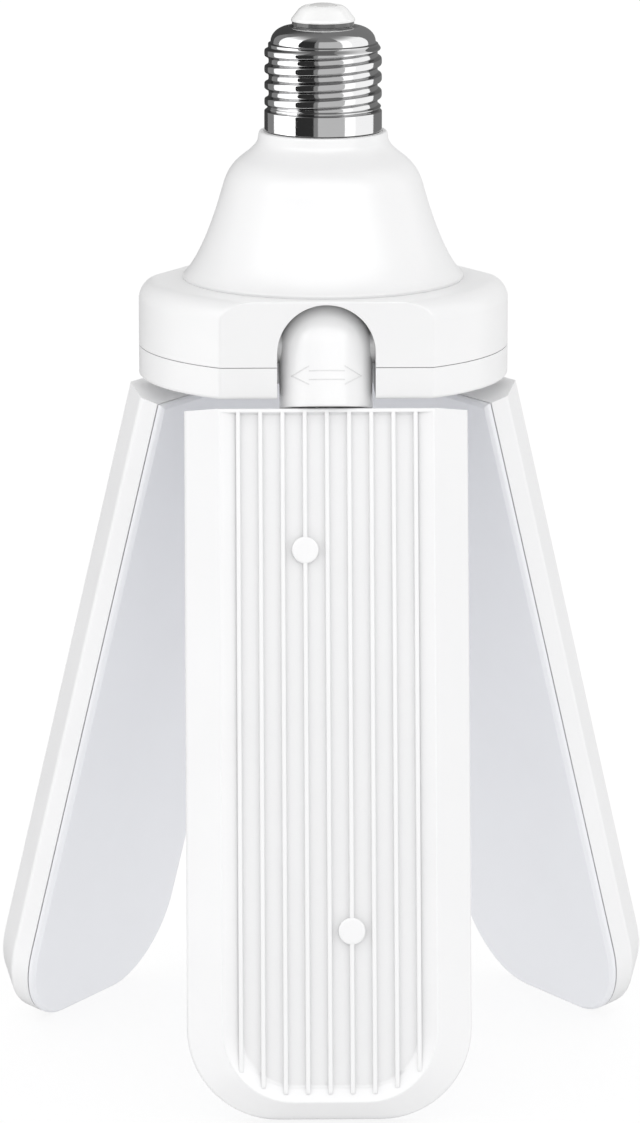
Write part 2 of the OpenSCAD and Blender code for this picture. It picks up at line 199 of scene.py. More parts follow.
def lathe(profile, n=128):
    """A closed profile of (r, z) turned about Z. Points at r 0 become one vertex each."""
    verts, faces, rows = [], [], []
    for r, z in profile:
        if r < 1e-6:
            rows.append([len(verts)] * n)
            verts.append((0, 0, z))
        else:
            rows.append([len(verts) + j for j in range(n)])
            verts += [(r * math.cos(2 * math.pi * j / n), r * math.sin(2 * math.pi * j / n), z) for j in range(n)]
    count = len(rows)
    for i in range(count):
        a, b = rows[i], rows[(i + 1) % count]
        if a[0] == a[1] and b[0] == b[1]:
            continue
        for j in range(n):
            l = (j + 1) % n
            f = [a[j], a[l], b[l], b[j]]
            f = [x for t, x in enumerate(f) if x not in f[:t]]
            if len(f) > 2:
                faces.append(f)
    return verts, faces


def joined(parts):
    """Several (verts, faces) as one."""
    verts, faces = [], []
    for v, f in parts:
        base = len(verts)
        verts += [tuple(float(c) for c in p) for p in v]
        faces += [tuple(i + base for i in x) for x in f]
    return verts, faces


def moved(part, place):
    v, f = part
    v = np.asarray(v, float)
    return (np.c_[v, np.ones(len(v))] @ place.T)[:, :3], f


def box_part(lo, hi):
    x0, y0, z0 = lo
    x1, y1, z1 = hi
    v = [(x0, y0, z0), (x1, y0, z0), (x1, y1, z0), (x0, y1, z0), (x0, y0, z1), (x1, y0, z1), (x1, y1, z1), (x0, y1, z1)]
    return v, [(0, 3, 2, 1), (4, 5, 6, 7), (0, 1, 5, 4), (1, 2, 6, 5), (2, 3, 7, 6), (3, 0, 4, 7)]


def rod(r, z0, z1, n=48):
    return loft([[(r * math.cos(2 * math.pi * j / n), r * math.sin(2 * math.pi * j / n), z) for j in range(n)] for z in (z0, z1)])


def prism_y(outline, y0, y1):
    """An (x, z) outline swept along y."""
    return loft([[(x, y, z) for x, z in outline] for y in (y0, y1)])


def evaluated(o):
    dg = bpy.context.evaluated_depsgraph_get()
    fresh = bpy.data.meshes.new_from_object(o.evaluated_get(dg))
    old = o.data
    o.modifiers.clear()
    o.data = fresh
    fresh.name = old.name
    bpy.data.meshes.remove(old)


def boolean(o, part, operation, place=None):
    other = build("tool", *part, place)
    m = o.modifiers.new("tool", "BOOLEAN")
    m.operation, m.object, m.solver = operation, other, "EXACT"
    evaluated(o)
    mesh = other.data
    bpy.data.objects.remove(other)
    bpy.data.meshes.remove(mesh)
    bm = bmesh.new()
    bm.from_mesh(o.data)
    bmesh.ops.remove_doubles(bm, verts=bm.verts, dist=2e-6)
    bmesh.ops.dissolve_degenerate(bm, dist=1e-6, edges=bm.edges)
    bad = sum(not e.is_manifold for e in bm.edges)
    if bad:
        print("open edges", o.name, bad)
    bm.to_mesh(o.data)
    bm.free()
    return o


def bevel(o, width, pick, segments=3, angle=28):
    """Rounds the sharp edges for which pick(midpoint mm, edge) is true."""
    bm = bmesh.new()
    bm.from_mesh(o.data)
    chosen = []
    for e in bm.edges:
        if len(e.link_faces) == 2 and e.calc_face_angle(0) > math.radians(angle):
            mid = (e.verts[0].co + e.verts[1].co) * 0.5 / MM
            if pick(mid, e):
                chosen.append(e)
    bmesh.ops.bevel(
        bm, geom=chosen, offset=width * MM, offset_type="OFFSET", segments=segments, profile=0.5,
        affect="EDGES", clamp_overlap=True, miter_outer="SHARP",
    )
    bm.to_mesh(o.data)
    bm.free()


def flatten_faces(o, pick):
    """Joins coplanar neighbours among the faces that pick(centre mm, normal) takes."""
    bm = bmesh.new()
    bm.from_mesh(o.data)
    chosen = {f for f in bm.faces if pick(f.calc_center_median() / MM, f.normal)}
    edges = [e for e in bm.edges if len(e.link_faces) == 2 and all(f in chosen for f in e.link_faces) and e.calc_face_angle(1) < 1e-3]
    bmesh.ops.dissolve_edges(bm, edges=edges, use_verts=True)
    bm.to_mesh(o.data)
    bm.free()


def shade(o, angle=35, weighted=True):
    """Smooth faces, with edges over angle kept sharp, and normals that favour the large faces."""
    mesh = o.data
    bm = bmesh.new()
    bm.from_mesh(mesh)
    for f in bm.faces:
        f.smooth = True
    for e in bm.edges:
        e.smooth = not (len(e.link_faces) == 2 and e.calc_face_angle(0) > math.radians(angle))
    bm.to_mesh(mesh)
    bm.free()
    if weighted:
        m = o.modifiers.new("normals", "WEIGHTED_NORMAL")
        m.mode, m.weight, m.keep_sharp = "FACE_AREA", 50, True


def finish_piece(o, body, slot, mat, *replaced, angle=35, weighted=True):
    shade(o, angle, weighted)
    o.data.materials.clear()
    o.data.materials.append(mat)
    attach(o, body)
    if replaced:
        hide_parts(*replaced)
    return o


# ------------------------------------------------------------------ materials
class Tree:
    """A short way to write a node material."""

    def __init__(self, name):
        self.mat = bpy.data.materials.new(name)
        self.mat.use_nodes = True
        self.nt = self.mat.node_tree
        self.bsdf = self.nt.nodes["Principled BSDF"]
        self.at = self.add("ShaderNodeTexCoord").outputs["Object"]

    def add(self, kind, **props):
        n = self.nt.nodes.new(kind)
        for k, v in props.items():
            setattr(n, k, v)
        return n

    def wire(self, a, b):
        self.nt.links.new(a, b)

    def noise(self, scale, detail=3.0, rough=0.5, stretch=None, distort=0.0):
        n = self.add("ShaderNodeTexNoise")
        n.inputs["Scale"].default_value = scale
        n.inputs["Detail"].default_value = detail
        n.inputs["Roughness"].default_value = rough
        n.inputs["Distortion"].default_value = distort
        at = self.at
        if stretch is not None:
            mp = self.add("ShaderNodeMapping")
            mp.inputs["Scale"].default_value = stretch
            self.wire(at, mp.inputs["Vector"])
            at = mp.outputs["Vector"]
        self.wire(at, n.inputs["Vector"])
        return n.outputs["Fac"]

    def ramp(self, value, low, high, to_low, to_high):
        n = self.add("ShaderNodeMapRange")
        n.inputs["From Min"].default_value = low
        n.inputs["From Max"].default_value = high
        n.inputs["To Min"].default_value = to_low
        n.inputs["To Max"].default_value = to_high
        self.wire(value, n.inputs["Value"])
        return n.outputs["Result"]

    def maths(self, op, a, b):
        n = self.add("ShaderNodeMath", operation=op)
        for i, x in enumerate((a, b)):
            if isinstance(x, (int, float)):
                n.inputs[i].default_value = x
            else:
                self.wire(x, n.inputs[i])
        return n.outputs[0]

    def mix(self, fac, a, b):
        n = self.add("ShaderNodeMix", data_type="RGBA")
        if isinstance(fac, (int, float)):
            n.inputs[0].default_value = fac
        else:
            self.wire(fac, n.inputs[0])
        for i, x in ((6, a), (7, b)):
            if isinstance(x, (tuple, list)):
                n.inputs[i].default_value = (*x, 1)
            else:
                self.wire(x, n.inputs[i])
        return n.outputs[2]

    def edges(self, low, high):
        """0 on flat faces to 1 on worn outer edges."""
        g = self.add("ShaderNodeNewGeometry")
        return self.ramp(g.outputs["Pointiness"], low, high, 0.0, 1.0)

    def bump(self, height, distance, strength=1.0, after=None):
        n = self.add("ShaderNodeBump")
        n.inputs["Strength"].default_value = strength
        n.inputs["Distance"].default_value = distance
        self.wire(height, n.inputs["Height"])
        if after is not None:
            self.wire(after, n.inputs["Normal"])
        return n.outputs["Normal"]

    def set(self, **values):
        for k, v in values.items():
            s = self.bsdf.inputs[k.replace("_", " ")]
            if isinstance(v, (int, float)):
                s.default_value = v
            elif isinstance(v, (tuple, list)):
                s.default_value = (*v, 1)
            else:
                self.wire(v, s)
        return self.mat


def tone(c, f):
    return tuple(min(1.0, max(0.0, x * f)) for x in c)


def moulded(name, colour, rough, grain=0.003, speckle=0.02, cloud=0.02, handled=0.03, wear=0.03, grain_scale=1500.0, spread=0.04, swelling=0.00004, dust=0.0):
    """Moulded plastic: fine spark grain, faint flow clouds, handled spots, rubbed edges and painted shade that darkens
    the corners, seams and grooves.
    """
    t = Tree(name)
    clouds = t.ramp(t.noise(38.0, 3.0, 0.55, distort=0.4), 0.3, 0.7, 0.0, 1.0)
    base = t.mix(clouds, tone(colour, 1.0), tone(colour, 1.0 - cloud))
    # painted shade: the base colour is darkened where ambient occlusion finds the surface sheltered, in corners, seams
    # and grooves
    if dust:
        crease_shade_ao = t.add("ShaderNodeAmbientOcclusion", samples=6)
        crease_shade_ao.inputs["Distance"].default_value = 0.003
        base = t.mix(t.maths("MULTIPLY", t.ramp(crease_shade_ao.outputs["AO"], 0.25, 0.97, 1.0, 0.0), dust), base, tone(colour, 0.55))
    specks = t.ramp(t.noise(2600.0, 1.0), 0.62, 0.75, 0.0, 1.0)
    base = t.mix(t.maths("MULTIPLY", specks, speckle * 4), base, tone(colour, 0.82))
    if wear:
        rubbed = t.maths("MULTIPLY", t.edges(0.53, 0.62), t.ramp(t.noise(160.0, 4.0, 0.6), 0.4, 0.65, 0.0, 1.0))
        base = t.mix(t.maths("MULTIPLY", rubbed, wear * 6), base, tone(colour, 1.05))
    spots = t.ramp(t.noise(75.0, 4.0, 0.62), 0.35, 0.7, rough - spread * 0.5, rough + spread)
    fine = t.ramp(t.noise(700.0, 2.0), 0.3, 0.7, -handled * 0.3, handled * 0.3)
    roughness = t.maths("ADD", spots, fine)
    skin = t.noise(grain_scale, 2.0, 0.5)
    swell = t.noise(26.0, 2.0, 0.5)
    normal = t.bump(swell, swelling, 0.35)
    normal = t.bump(skin, grain * MM, 0.6, after=normal)
    return t, base, roughness, normal


def white_plastic(name, colour, rough, **kw):
    t, base, roughness, normal = moulded(name, colour, rough, **kw)
    return t.set(Base_Color=base, Roughness=roughness, Normal=normal, IOR=1.5)


MAT = {}
MAT["housing"] = white_plastic("white_housing_plastic", (0.895, 0.895, 0.898), 0.31, spread=0.03, dust=0.35)
MAT["knuckle"] = white_plastic("white_knuckle_plastic", (0.895, 0.895, 0.898), 0.2, dust=0.35)
MAT["panel"] = white_plastic("white_panel_plastic", (0.895, 0.895, 0.90), 0.34, grain=0.006, wear=0.0, spread=0.03, dust=0.38)


def diffuser_material():
    t, base, roughness, normal = moulded("milky_diffuser", (0.875, 0.882, 0.909), 0.42, grain=0.006, speckle=0.008, cloud=0.015, wear=0.0)
    return t.set(Base_Color=base, Roughness=roughness, Normal=normal, IOR=1.49)


MAT["diffuser"] = diffuser_material()


def metal_material(name, colour, rough, brush=0.0, brush_scale=(1, 1, 60), tarnish=0.06, marks=0.004, metallic=1.0, painted_cap_shade=None):
    """Plated metal with fine brushing, faint tarnish clouds and small scuffs; on the screw cap also painted shade on
    the thread's sides, the skirt's edge and the lip.
    """
    t = Tree(name)
    clouds = t.ramp(t.noise(120.0, 4.0, 0.6), 0.35, 0.7, 0.0, 1.0)
    base = t.mix(clouds, tone(colour, 1.0), tone(colour, 1.0 - tarnish))
    scuffs = t.ramp(t.noise(90.0, 6.0, 0.7, stretch=(1.0, 1.0, 9.0)), 0.58, 0.72, 0.0, 1.0)
    base = t.mix(t.maths("MULTIPLY", scuffs, 0.35), base, tone(colour, 0.88))
    if painted_cap_shade:
        # painted shade: the base colour is darkened on the sloping sides of the thread, between two heights, standing
        # in for the dark reflections there
        low, high, amount = painted_cap_shade
        facing, at = t.add("ShaderNodeSeparateXYZ"), t.add("ShaderNodeSeparateXYZ")
        t.wire(t.add("ShaderNodeNewGeometry").outputs["Normal"], facing.inputs[0])
        t.wire(t.at, at.inputs[0])
        flank_shade = t.ramp(t.maths("ABSOLUTE", facing.outputs[2], 0.0), 0.3, 0.72, 0.0, amount)
        flank_shade = t.maths("MULTIPLY", flank_shade, t.ramp(at.outputs[2], low * MM, (low + 0.3) * MM, 0.0, 1.0))
        flank_shade = t.maths("MULTIPLY", flank_shade, t.ramp(at.outputs[2], high * MM, (high + 0.2) * MM, 1.0, 0.0))
        base = t.mix(flank_shade, base, tone(colour, 0.12))
        # painted shadow: a dark band along the bottom edge of the skirt, where it sits on the collar
        base = t.mix(t.ramp(at.outputs[2], 0.22 * MM, 0.36 * MM, 0.92, 0.0), base, tone(colour, 0.05))
        # painted shade: the base colour is darkened on the lip under the insulator's brim, in place of the bright ring
        # it reflects
        base = t.mix(t.ramp(at.outputs[2], 23.26 * MM, 23.34 * MM, 0.0, 0.5), base, tone(colour, 0.12))
    lines = t.noise(420.0, 2.0, 0.5, stretch=brush_scale)
    r = t.ramp(lines, 0.3, 0.7, rough * 0.75, rough * 1.3)
    r = t.maths("ADD", r, t.maths("MULTIPLY", scuffs, 0.06))
    normal = t.bump(lines, marks * MM, 0.5 if brush == 0 else brush)
    return t.set(Base_Color=base, Metallic=metallic, Roughness=r, Normal=normal)


MAT["nickel"] = metal_material("bright_nickel", (0.83, 0.83, 0.835), 0.06, tarnish=0.03, marks=0.002, painted_cap_shade=(-0.3, 19.9, 0.5))
MAT["contact"] = metal_material("tinned_contact", (0.88, 0.88, 0.875), 0.38, tarnish=0.08, marks=0.01, metallic=0.25)
MAT["zinc"] = metal_material("zinc_plated_steel", (0.72, 0.73, 0.74), 0.19, brush=0.6, brush_scale=(8, 8, 8))
MAT["spring"] = metal_material("spring_steel", (0.62, 0.63, 0.65), 0.2, brush=0.6, brush_scale=(3, 3, 30))
MAT["stem"] = metal_material("stem_steel", (0.7, 0.7, 0.71), 0.38, brush=0.6, brush_scale=(4, 4, 20))


def glazed():
    t, base, roughness, normal = moulded("white_glazed_insulator", (0.96, 0.96, 0.957), 0.12, grain=0.004, speckle=0.03, cloud=0.02, grain_scale=300.0)
    # painted shadow: the glass under the brim is darkened, standing in for the shade the brim casts
    at = t.add("ShaderNodeSeparateXYZ")
    t.wire(t.at, at.inputs[0])
    base = t.mix(t.ramp(at.outputs[2], 24.44 * MM, 24.5 * MM, 0.96, 0.0), base, tone((0.96, 0.96, 0.957), 0.1))
    return t.set(Base_Color=base, Roughness=roughness, Normal=normal, IOR=1.52, Coat_Weight=0.3)


MAT["glazed"] = glazed()


def board(name, colour, mask, tracks):
    t = Tree(name)
    weave = t.add("ShaderNodeTexWave", wave_type="BANDS", bands_direction="X")
    weave.inputs["Scale"].default_value = 900.0
    t.wire(t.at, weave.inputs["Vector"])
    lanes = t.add("ShaderNodeTexBrick")
    lanes.inputs["Scale"].default_value = 260.0
    lanes.inputs["Mortar Size"].default_value = 0.03
    t.wire(t.at, lanes.inputs["Vector"])
    base = t.mix(t.ramp(t.noise(300.0), 0.3, 0.7, 0.0, 1.0), colour, tone(colour, 0.85))
    base = t.mix(t.maths("MULTIPLY", lanes.outputs["Fac"], tracks), base, mask)
    r = t.ramp(t.noise(500.0), 0.3, 0.7, 0.3, 0.5)
    return t.set(Base_Color=base, Roughness=r, Normal=t.bump(weave.outputs["Fac"], 0.00001, 0.4))


MAT["driver_board"] = board("green_fibre_board", (0.05, 0.22, 0.1), (0.2, 0.45, 0.2), 0.6)
MAT["led_board"] = board("white_printed_board", (0.82, 0.82, 0.8), (0.6, 0.6, 0.58), 0.3)


def small_part(name, colour, rough, ring_scale=300.0):
    t, base, roughness, normal = moulded(name, colour, rough, grain=0.01, speckle=0.05, cloud=0.12)
    return t.set(Base_Color=base, Roughness=roughness, Normal=normal)


MAT["capacitor"] = small_part("capacitor_sleeve", (0.03, 0.035, 0.05), 0.34)
MAT["transformer"] = small_part("winding_tape", (0.75, 0.5, 0.06), 0.35)
MAT["components"] = small_part("moulded_components", (0.05, 0.055, 0.07), 0.45)
MAT["phosphor"] = small_part("phosphor_face", (0.9, 0.72, 0.12), 0.5)


def insulation(name, colour):
    t, base, roughness, normal = moulded(name, colour, 0.42, grain=0.015, speckle=0.02, cloud=0.06, grain_scale=1400.0)
    return t.set(Base_Color=base, Roughness=roughness, Normal=normal)


MAT["red_lead"] = insulation("red_insulation", (0.55, 0.03, 0.02))
MAT["white_lead"] = insulation("white_insulation", (0.8, 0.8, 0.78))


# ------------------------------------------------------------------ the screw cap
def cap_shell():
    n = 288
    e, root = 0.47, 12.13
    outer = []  # (r, z, how far the thread stands)
    skirt_top = 4.55
    outer += [(r, z, 0.0) for r, z in soften([(12.6, 0.0), (13.1, 0.0), (13.1, skirt_top)], 0.34, 5)[:-1]]
    # the plain skirt ends in a small step down to the thread's root
    outer += [(13.1, 1.5, 0.0), (13.1, 3.2, 0.0)]
    outer += [(r, z, 0.0) for r, z in soften([(13.1, 4.2), (13.1, skirt_top), (12.75, skirt_top + 0.22)], 0.18, 4)]
    z0, z1 = skirt_top + 0.3, 19.55
    rows = 150
    for i in range(rows + 1):
        z = z0 + (z1 - z0) * i / rows
        outer.append((None, z, 1.0))
    outer += [(r, z, 0.0) for r, z in soften([(12.0, 19.6), (11.72, 19.75), (11.7, 20.0)], 0.1, 2)[1:]]
    outer += [(r, 19.9 + (z - 19.9) * 0.8, 0.0) for r, z in arc(7.4, 19.9, 4.3, 4, 90, 22)]
    outer += [(r, z, 0.0) for r, z in soften([(7.3, 23.37), (6.96, 23.66), (6.95, 23.3)], 0.06, 3)[1:]]
    inner = [(6.95, 22.95), (7.4, 22.95)] + [(r, 19.9 + (z - 19.9) * 0.8356) for r, z in arc(7.4, 19.9, 3.65, 88, 0, 14)] + [(11.3, 18.0), (11.7, 17.8), (11.7, 4.2), (12.75, 4.0), (12.75, 0.2)]
    theta = 2 * math.pi * np.arange(n) / n
    loops = []
    for r, z, on in outer:
        if on:
            fade = min(1.0, max(0.0, (z - z0) / 0.9)) * min(1.0, max(0.0, (z1 - z) / 1.5))
            fade = fade * fade * (3 - 2 * fade)
            lead = math.pi - 2 * math.pi * 10.2 / PITCH
            wave = np.cos(theta - 2 * math.pi * z / PITCH - lead - 0.0)
            # flattened crests and roots with quick flanks, as rolled thread has
            wave = np.tanh(2.3 * (wave + 0.12))
            wave = 2 * (wave - math.tanh(-2.3 * 0.88)) / (math.tanh(2.3 * 1.12) - math.tanh(-2.3 * 0.88)) - 1
            foot = min(1.0, max(0.0, (z - z0) / 0.9))
            head = min(1.0, max(0.0, (z1 - z) / 1.5))
            mean = root + e * min(foot + 0.6, 1.0) * min(head + 0.15, 1.0)
            rr = mean + e * fade * wave
            rr = np.minimum(rr, 13.1)
        else:
            rr = np.full(n, r)
        loops.append(np.c_[rr * np.cos(theta), rr * np.sin(theta), np.full(n, z)])
    for r, z in inner:
        loops.append(np.c_[r * np.cos(theta), r * np.sin(theta), np.full(n, z)])
    v, f = loft(loops, ring=True)
    o = build("cap_shell_rolled", v, f)
    finish_piece(o, "lamp_body", "nickel", MAT["nickel"], "cap_shell", angle=60, weighted=False)


def cap_insulator():
    p = soften_ring(
        [(0, 21.8), (7.2, 21.8), (7.2, 22.92), (6.93, 22.92), (6.93, 24.5), (7.14, 24.52), (7.08, 25.02), (5.2, 27.4), (4.2, 27.95), (3.02, 27.95), (3.02, 26.9), (1.55, 26.9), (1.55, 26.0), (0, 26.0)],
        [0, 0.1, 0.05, 0.05, 0.04, 0.06, 0.3, 0.7, 0.3, 0.06, 0.0, 0.0, 0.0, 0], 5)
    # the rounded ring leaves the axis points untouched
    o = build("cap_insulator_glazed", *lathe([tuple(x) for x in p], 96))
    finish_piece(o, "lamp_body", "cap_glass", MAT["glazed"], "cap_insulator")


def centre_contact():
    p = [(0, 21.2), (1.5, 21.2), (1.5, 26.9), (2.95, 26.9)]
    p += [tuple(x) for x in soften([(2.95, 27.0), (2.95, 28.0), (2.3, 28.28), (0.9, 28.4), (0.0, 28.4)], [0, 0.2, 0.5, 0.5, 0], 5)]
    o = build("centre_contact_tinned", *lathe(p, 64))
    finish_piece(o, "lamp_body", "contact", MAT["contact"], "centre_contact")


# ------------------------------------------------------------------ the neck
def neck():
    upper = [(14.6, -1.9)] + [tuple(x) for x in bezier((14.6, -1.9), (14.9, -3.3), (16.9, -4.7), (18.4, -5.9), 10)]
    upper += [tuple(x) for x in bezier((18.4, -5.9), (20.3, -7.4), (21.7, -9.4), (22.5, -12.6), 14)]
    bell = [tuple(x) for x in bezier((22.5, -12.6), (24.2, -18.8), (27.4, -28.2), (31.1, -32.0), 36)]
    lip = [tuple(x) for x in soften([bell[-1], (31.34, -32.28), (31.3, -32.89), (29.6, -32.9)], [0, 0.22, 0.03, 0], 4)[1:]]
    inner = [(29.1, -32.9)]
    inner += [(x[0] - 2.0, x[1] - 0.5) for x in reversed(bell)] + [(22.5 - 2.0, -13.1)]
    inner += [(x[0] - 1.9, x[1] - 0.9) for x in reversed(bezier((18.4, -5.9), (20.3, -7.4), (21.7, -9.4), (22.5, -12.6), 8)[:-1])]
    inner += [(15.5, -6.6), (9.8, -3.6)]
    p = [(9.8, 15.0), (11.63, 15.0), (11.63, 3.85), (12.7, 3.85), (12.7, 0.0), (13.0, -0.0), (13.12, -0.22), (13.3, -0.02)]
    p += [tuple(x) for x in soften([(13.5, 0.0), (14.1, 0.0), (14.32, -0.3), (14.6, -1.9)], [0, 0.2, 0.2, 0], 4)]
    p += upper[1:] + bell + lip + inner
    o = build("neck_housing_bell", *lathe(p, 224))
    finish_piece(o, "lamp_body", "white_housing", MAT["housing"], "neck_housing")


# ------------------------------------------------------------------ the hub
def hub_loop(r, d, z, rho=0.5, arcs=26):
    """A circle of radius r cut by three flats at distance d, corners rounded by rho."""
    pts = []
    a = math.degrees(math.acos(min(1.0, d / r)))
    for k in range(3):
        mid = -90 + 120 * k
        c0, c1 = math.radians(mid - a), math.radians(mid + a)
        A = np.array([r * math.cos(c0), r * math.sin(c0)])
        B = np.array([r * math.cos(c1), r * math.sin(c1)])
        along = (B - A) / max(np.linalg.norm(B - A), 1e-9)
        back = math.degrees(rho / r)
        before = np.array([r * math.cos(c0 - math.radians(back)), r * math.sin(c0 - math.radians(back))])
        after = np.array([r * math.cos(c1 + math.radians(back)), r * math.sin(c1 + math.radians(back))])
        for p, q, s in ((before, A, A + along * rho), (B - along * rho, B, after)):
            for t in (0, 0.25, 0.5, 0.75, 1):
                pts.append((1 - t) ** 2 * p + 2 * t * (1 - t) * q + t * t * s)
        start, end = mid + a + back, mid + 120 - a - back
        for i in range(1, arcs):
            w = math.radians(start + (end - start) * i / arcs)
            pts.append(np.array([r * math.cos(w), r * math.sin(w)]))
    return [(p[0], p[1], z) for p in pts]


def circle_like(loop, r, z):
    out = []
    for x, y, _ in loop:
        s = r / math.hypot(x, y)
        out.append((x * s, y * s, z))
    return out


def arch(w, z0, n=40):
    return [(-w, z0), (w, z0)] + [(x, z) for x, z in arc(0, ARCH_Z, w, 0, 180, n)]


def thirds(part):
    return joined([moved(part, turn("Z", 120 * k)) for k in range(3)])


def on_facet(mid, tol=0.02):
    return any(
        abs(mid[0] * math.cos(math.radians(-90 + 120 * k)) + mid[1] * math.sin(math.radians(-90 + 120 * k)) - FACET) < tol
        for k in range(3)
    )


def hub_upper():
    rnd, rim = 4.3, SEAM + SLIT
    loops = [hub_loop(HUB_R, FACET, rim), hub_loop(HUB_R, FACET, -42.0), hub_loop(HUB_R, FACET, HUB_TOP - rnd)]
    small = 0.42
    for i in range(1, 15):
        a = math.radians(90 * i / 14)
        r, z = HUB_R - rnd * (1 - math.cos(a)), HUB_TOP - rnd * (1 - math.sin(a))
        over = max(0.0, z - (HUB_TOP - small))
        d = FACET - small * (1 - math.sqrt(max(0.0, 1 - (over / small) ** 2)))
        loops.append(hub_loop(r, d, z))
    top = loops[-1]
    for r, d in ((36.6, FACET - small - 0.3), (35.6, FACET - small - 1.0), (33.2, 31.9)):
        loops.append(hub_loop(r, d, HUB_TOP))
    loops.append(circle_like(top, 29.5, HUB_TOP))
    loops.append(circle_like(top, 6.0, HUB_TOP))
    loops.append(circle_like(top, 6.0, HUB_TOP - 2.0))
    loops.append(circle_like(top, 28.0, HUB_TOP - 2.0))
    loops.append(hub_loop(36.1, 31.3, HUB_TOP - 2.0))
    loops.append(hub_loop(36.1, 31.3, HUB_TOP - rnd))
    loops.append(hub_loop(39.2, 32.0, HUB_TOP - rnd))
    loops.append(hub_loop(39.2, 32.0, rim))
    o = build("hub_upper_shell", *loft(loops, ring=True))
    flatten_faces(o, lambda c, n: on_facet(c, 0.01) and abs(n[2]) < 1e-3)
    walls = thirds(prism_y([(x, min(z, HUB_TOP - 1.2)) for x, z in arch(13.0, rim, 24)], -33.2, -12.0))
    boolean(o, walls, "UNION")
    slots = prism_y(arch(SLOT_R, -70.0, 56), -60.0, -(PIVOT_R - SLOT_R))
    seats = moved(rod(3.45, -13.4, 13.4), shift(0, -PIVOT_R, PIVOT_Z) @ turn("Y", 90))
    boolean(o, thirds(slots), "DIFFERENCE")
    boolean(o, thirds(seats), "DIFFERENCE")
    boolean(o, thirds(box_part((-13.4, -PIVOT_R - 3.45, -60), (13.4, -PIVOT_R + 3.45, PIVOT_Z))), "DIFFERENCE")

    def pick(m, e):
        if on_facet(m):
            return True
        return abs(m[2] - rim) < 0.02 and math.hypot(m[0], m[1]) > FACET - 0.05 and (abs(math.hypot(m[0], m[1]) - HUB_R) < 0.6 or on_facet(m, 0.3))

    bevel(o, 0.14, pick, 3)
    finish_piece(o, "lamp_body", "white_housing", MAT["housing"], "hub_upper")


def hub_lower():
    ch, rim = 0.5, SEAM - SLIT
    loops =[circle_like(hub_loop(HUB_R, FACET, 0), 5.0, HUB_BOT), circle_like(hub_loop(HUB_R, FACET, 0), 24.0, HUB_BOT)]
    prof = soften([(2.4, 0.0), (ch, 0.0), (0.0, ch), (0.0, rim - HUB_BOT)], [0, 0.5, 0.5, 0], 4)
    for inset, up in prof:
        loops.append(hub_loop(HUB_R - inset, FACET - inset, HUB_BOT + up))
    loops.append(hub_loop(39.2, 32.0, rim))
    loops.append(hub_loop(39.2, 32.0, HUB_BOT + 2.0))
    loops.append(circle_like(loops[0], 24.0, HUB_BOT + 2.0))
    loops.append(circle_like(loops[0], 5.0, HUB_BOT + 2.0))
    o = build("hub_lower_shell", *loft(loops))
    flatten_faces(o, lambda c, n: on_facet(c, 0.01) and abs(n[2]) < 1e-3)
    walls = thirds(prism_y([(-13.0, HUB_BOT + 1.0), (13.0, HUB_BOT + 1.0), (13.0, rim), (-13.0, rim)], -33.2, -12.0))
    boolean(o, walls, "UNION")
    posts = joined([moved(rod(4.6, HUB_BOT + 1.0, rim, 40), turn("Z", 120 * k - 30) @ shift(27, 0, 0)) for k in range(3)])
    boolean(o, posts, "UNION")
    slots = prism_y(arch(SLOT_R, -70.0, 56), -60.0, -(PIVOT_R - SLOT_R))
    seats = moved(rod(3.45, -13.4, 13.4), shift(0, -PIVOT_R, PIVOT_Z) @ turn("Y", 90))
    holes = joined(
        [moved(rod(1.7, -70, -40, 32), turn("Z", 120 * k - 30) @ shift(27, 0, 0)) for k in range(3)]
    )
    wells = joined([moved(rod(3.3, -70, HUB_BOT + 3.0, 40), turn("Z", 120 * k - 30) @ shift(27, 0, 0)) for k in range(3)])
    boolean(o, thirds(slots), "DIFFERENCE")
    boolean(o, thirds(seats), "DIFFERENCE")
    boolean(o, holes, "DIFFERENCE")
    boolean(o, wells, "DIFFERENCE")

    def pick(m, e):
        if on_facet(m) or abs(m[2] - HUB_BOT) < 0.02:
            return True
        return abs(m[2] - rim) < 0.02 and (abs(math.hypot(m[0], m[1]) - HUB_R) < 0.6 or on_facet(m, 0.3))

    bevel(o, 0.14, pick, 3)
    finish_piece(o, "lamp_body", "white_housing", MAT["housing"], "hub_lower")


# ------------------------------------------------------------------ the knuckles
def arrow_tools(r_in, r_out, z0):
    """Shallow strips that engrave an outlined double arrow round the knuckle's front."""

    def strip(outer, inner):
        """outer and inner are equal lists of (x, z); a closed ribbon between two radii."""
        loops = []
        for (x0, za), (x1, zb) in zip(outer, inner):
            y = lambda r, x: -math.sqrt(r * r - x * x)
            loops.append([(x0, y(r_out, x0), za + z0), (x1, y(r_out, x1), zb + z0), (x1, y(r_in, x1), zb + z0), (x0, y(r_in, x0), za + z0)])
        return loft(loops)

    parts = []
    xs = np.linspace(-3.9, 3.9, 17)
    w = 0.11
    parts.append(strip([(x, 0.95 + w) for x in xs], [(x, 0.95 - w) for x in xs]))
    parts.append(strip([(x, -0.95 + w) for x in xs], [(x, -0.95 - w) for x in xs]))
    for s in (1, -1):
        t = np.concatenate([np.linspace(1, 0, 9)[:-1], np.linspace(0, 1, 9)])
        sign = [1] * 8 + [-1] * 9
        outer = [(s * (7.8 - 3.9 * a), g * 2.15 * a) for a, g in zip(t, sign)]
        inner = [(s * (7.3 - 3.4 * a), g * 1.86 * a) for a, g in zip(t, sign)]
        parts.append(strip(outer, inner))
    return parts


